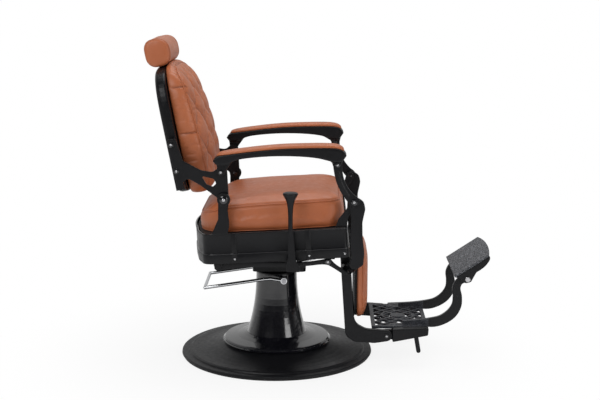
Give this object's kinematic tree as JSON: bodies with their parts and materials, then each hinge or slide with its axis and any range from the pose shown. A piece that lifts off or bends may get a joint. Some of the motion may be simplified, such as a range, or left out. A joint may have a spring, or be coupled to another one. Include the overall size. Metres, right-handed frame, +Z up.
{
  "type": "hydraulic barber chair",
  "caption": "Reclining barber chair on a round hydraulic column, with tufted back, sliding headrest, linked armrests and a folding footrest.",
  "frame": {"origin": "centre of the base's underside, on the floor", "axes": "+X to the chair's front, +Y to the sitter's left, +Z up"},
  "size_m": [1.1368, 0.65, 1.0779],
  "materials": {
    "black_paint": "satin black powder coat",
    "column_gloss": "gloss black enamel",
    "base_black": "satin black enamel",
    "cast_plate": "dark cast relief, lightly worn",
    "leather": "cognac upholstery leather, soft grain",
    "chrome": "polished chrome",
    "bolt_steel": "zinc plated bolt heads",
    "steel": "machined steel",
    "bronze": "bearing bronze",
    "rubber": "black rubber",
    "shell_black": "satin black moulded shell",
    "pad_board": "black board"
  },
  "bodies": {
    "base": {"floor_ring": "rubber", "base_disc": "base_black", "base_bolts": "steel", "swivel_bearing": "steel"},
    "column": {"column_flange": "column_gloss", "column_cover": "column_gloss", "pump_cylinder": "steel", "guide_bush": "bronze", "column_collar": "black_paint"},
    "pedal": {"pedal_bar": "chrome", "pedal_shaft": "steel"},
    "seat": {"lift_ram": "steel", "ram_piston": "steel", "turret_plate": "black_paint", "seat_carrier": "black_paint", "cross_rails": "black_paint", "seat_skirt": "black_paint", "seat_board": "pad_board", "seat_cushion": "leather", "rear_bracket_left": "black_paint", "rear_bracket_right": "black_paint", "front_bracket_left": "black_paint", "front_bracket_right": "black_paint", "seat_pivot_bolts": "bolt_steel", "lock_tube": "black_paint", "lever_bearing": "black_paint", "release_block": "black_paint"},
    "back": {"back_shell": "shell_black", "back_cushion": "leather", "back_bracket_left": "black_paint", "back_bracket_right": "black_paint", "back_bolts": "bolt_steel", "lower_cross_bar": "black_paint", "headrest_socket": "steel"},
    "headrest": {"headrest_post": "chrome", "headrest_pad": "leather"},
    "armrests": {"armrest_frame_left": "black_paint", "armrest_frame_right": "black_paint", "armrest_pad_left": "leather", "armrest_pad_right": "leather", "armrest_bolts": "bolt_steel"},
    "front_links": {"front_link_left": "black_paint", "front_link_right": "black_paint"},
    "tie_bars": {"tie_bar_left": "black_paint", "tie_bar_right": "black_paint"},
    "legs": {"leg_casting_left": "black_paint", "leg_casting_right": "black_paint", "leg_cross_bars": "black_paint", "calf_board": "pad_board", "calf_pad": "leather", "leg_bolts": "bolt_steel"},
    "footrest": {"foot_rails": "black_paint", "footplate": "cast_plate"},
    "foot_pad": {"foot_pad_shell": "black_paint", "foot_pad_face": "cast_plate", "foot_pad_rod": "bolt_steel"},
    "lever": {"recline_lever": "black_paint", "lever_shaft": "steel"},
    "release": {"release_rod": "chrome"},
    "lock": {"lock_rod": "chrome"}
  },
  "joints": [
    {"name": "swivel", "type": "hinge", "parent": "base", "child": "column", "pos_m": [0, 0, 0.05], "axis": [0, 0, 1], "continuous": true},
    {"name": "pedal_press", "type": "hinge", "parent": "column", "child": "pedal", "pos_m": [0.028, 0, 0.273], "axis": [0, -1, 0], "range_deg": [-4, 18], "stiffness_Nm_per_rad": 14, "springref_deg": -5.73},
    {"name": "lift", "type": "slide", "parent": "column", "child": "seat", "axis": [0, 0, 1], "range_m": [0, 0.16]},
    {"name": "recline", "type": "hinge", "parent": "seat", "child": "back", "pos_m": [-0.156, 0, 0.578], "axis": [0, -1, 0], "range_deg": [0, 30]},
    {"name": "headrest_slide", "type": "slide", "parent": "back", "child": "headrest", "axis": [-0.1874, 0, 0.9823], "range_m": [0, 0.11]},
    {"name": "armrest_turn", "type": "hinge", "parent": "back", "child": "armrests", "pos_m": [-0.164, 0, 0.666], "axis": [0, -1, 0], "range_deg": [-33.76, 1]},
    {"name": "front_link_turn", "type": "hinge", "parent": "seat", "child": "front_links", "pos_m": [0.255, 0, 0.572], "axis": [0, -1, 0], "range_deg": [-1, 23.74]},
    {"name": "tie_bar_turn", "type": "hinge", "parent": "back", "child": "tie_bars", "pos_m": [-0.177, 0, 0.356], "axis": [0, -1, 0], "range_deg": [-36.92, 1]},
    {"name": "leg_lift", "type": "hinge", "parent": "seat", "child": "legs", "pos_m": [0.255, 0, 0.572], "axis": [0, -1, 0], "range_deg": [-1, 32.56]},
    {"name": "lock_travel", "type": "slide", "parent": "seat", "child": "lock", "axis": [1, 0, 0], "range_m": [-0.001, 0.11567]},
    {"name": "footrest_fold", "type": "hinge", "parent": "legs", "child": "footrest", "pos_m": [0.368, 0, 0.105], "axis": [0, -1, 0], "range_deg": [0, 45]},
    {"name": "foot_pad_tilt", "type": "hinge", "parent": "footrest", "child": "foot_pad", "pos_m": [0.634, 0, 0.29], "axis": [0, -1, 0], "range_deg": [-15, 15]},
    {"name": "lever_pull", "type": "hinge", "parent": "seat", "child": "lever", "pos_m": [0.062, 0, 0.395], "axis": [0, -1, 0], "range_deg": [0, 14], "stiffness_Nm_per_rad": 12, "springref_deg": -8.59},
    {"name": "release_pull", "type": "slide", "parent": "seat", "child": "release", "axis": [0.974, 0, 0.2267], "range_m": [-0.0005, 0.012]}
  ],
  "couplings": [
    {"joint": "armrest_turn", "follows": "recline", "ratio": -1.0754},
    {"joint": "front_link_turn", "follows": "recline", "ratio": 0.75794},
    {"joint": "tie_bar_turn", "follows": "recline", "ratio": -1.1808},
    {"joint": "leg_lift", "follows": "recline", "ratio": 1.0519},
    {"joint": "lock_travel", "follows": "recline", "m_per_rad": 0.219},
    {"joint": "release_pull", "follows": "lever_pull", "m_per_rad": 0.0396}
  ]
}
